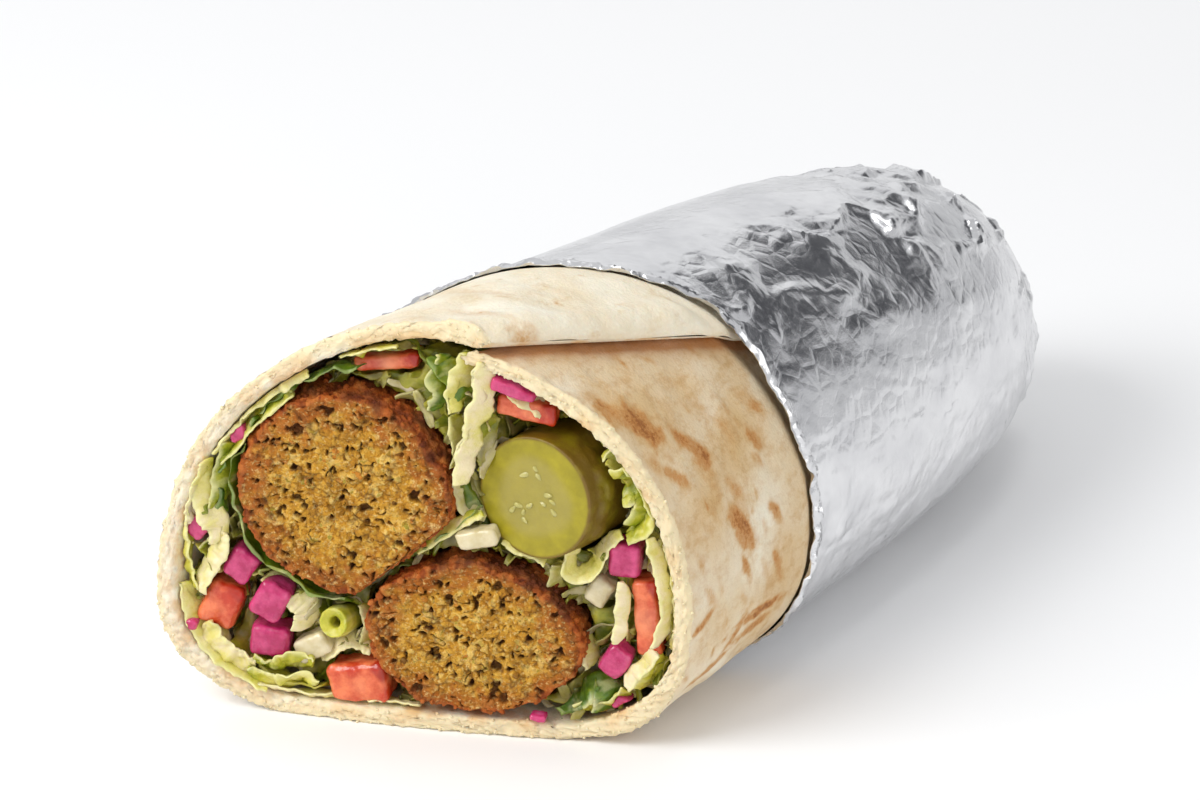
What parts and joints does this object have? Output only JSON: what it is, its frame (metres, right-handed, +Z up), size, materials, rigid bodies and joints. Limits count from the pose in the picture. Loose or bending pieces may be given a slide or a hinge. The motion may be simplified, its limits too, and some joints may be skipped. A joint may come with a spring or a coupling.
{
  "type": "falafel wrap",
  "caption": "Half of a falafel wrap, cut on the slant and lying on its side: rolled flatbread round falafel, pickles and salad, with its closed end in foil.",
  "frame": {"origin": "middle of the bounding box, on the surface the wrap rests on", "axes": "+Y along the wrap from its cut end to its closed foil end, +X to the right seen from the cut end, +Z up"},
  "size_m": [0.0756, 0.1649, 0.0656],
  "materials": {
    "flatbread": "soft baked flatbread, matte, pale cream with brown griddle marks",
    "foil": "bright household foil with fine creases",
    "falafel": "deep-fried crust, dark brown and craggy, with a golden crumbly inside",
    "pickle": "wet pickled cucumber, slightly translucent",
    "turnip": "wet pickled turnip, magenta pink",
    "tomato": "wet diced tomato",
    "onion": "raw diced white onion, slightly wet",
    "lettuce_leaf": "fresh green leaf, satin",
    "salad": "shredded pale green salad, moist"
  },
  "bodies": {
    "root": {"falafel_lower": "falafel", "falafel_upper": "falafel", "flatbread": "flatbread", "foil_sleeve": "foil", "leaf_behind_falafel": "lettuce_leaf", "leaf_between": "lettuce_leaf", "leaf_by_tomato": "lettuce_leaf", "leaf_left": "lettuce_leaf", "leaf_low_left": "lettuce_leaf", "leaf_low_right": "lettuce_leaf", "leaf_right": "lettuce_leaf", "leaf_top": "lettuce_leaf", "leaf_top_left": "lettuce_leaf", "onion_01": "onion", "onion_02": "onion", "onion_03": "onion", "pickled_cucumber": "pickle", "salad": "salad", "stem_slice": "lettuce_leaf", "tomato_01": "tomato", "tomato_02": "tomato", "tomato_03": "tomato", "tomato_04": "tomato", "tomato_05": "tomato", "turnip_01": "turnip", "turnip_02": "turnip", "turnip_03": "turnip", "turnip_04": "turnip", "turnip_05": "turnip", "turnip_06": "turnip", "turnip_07": "turnip", "turnip_08": "turnip", "turnip_09": "turnip", "turnip_10": "turnip", "turnip_11": "turnip"}
  },
  "joints": []
}
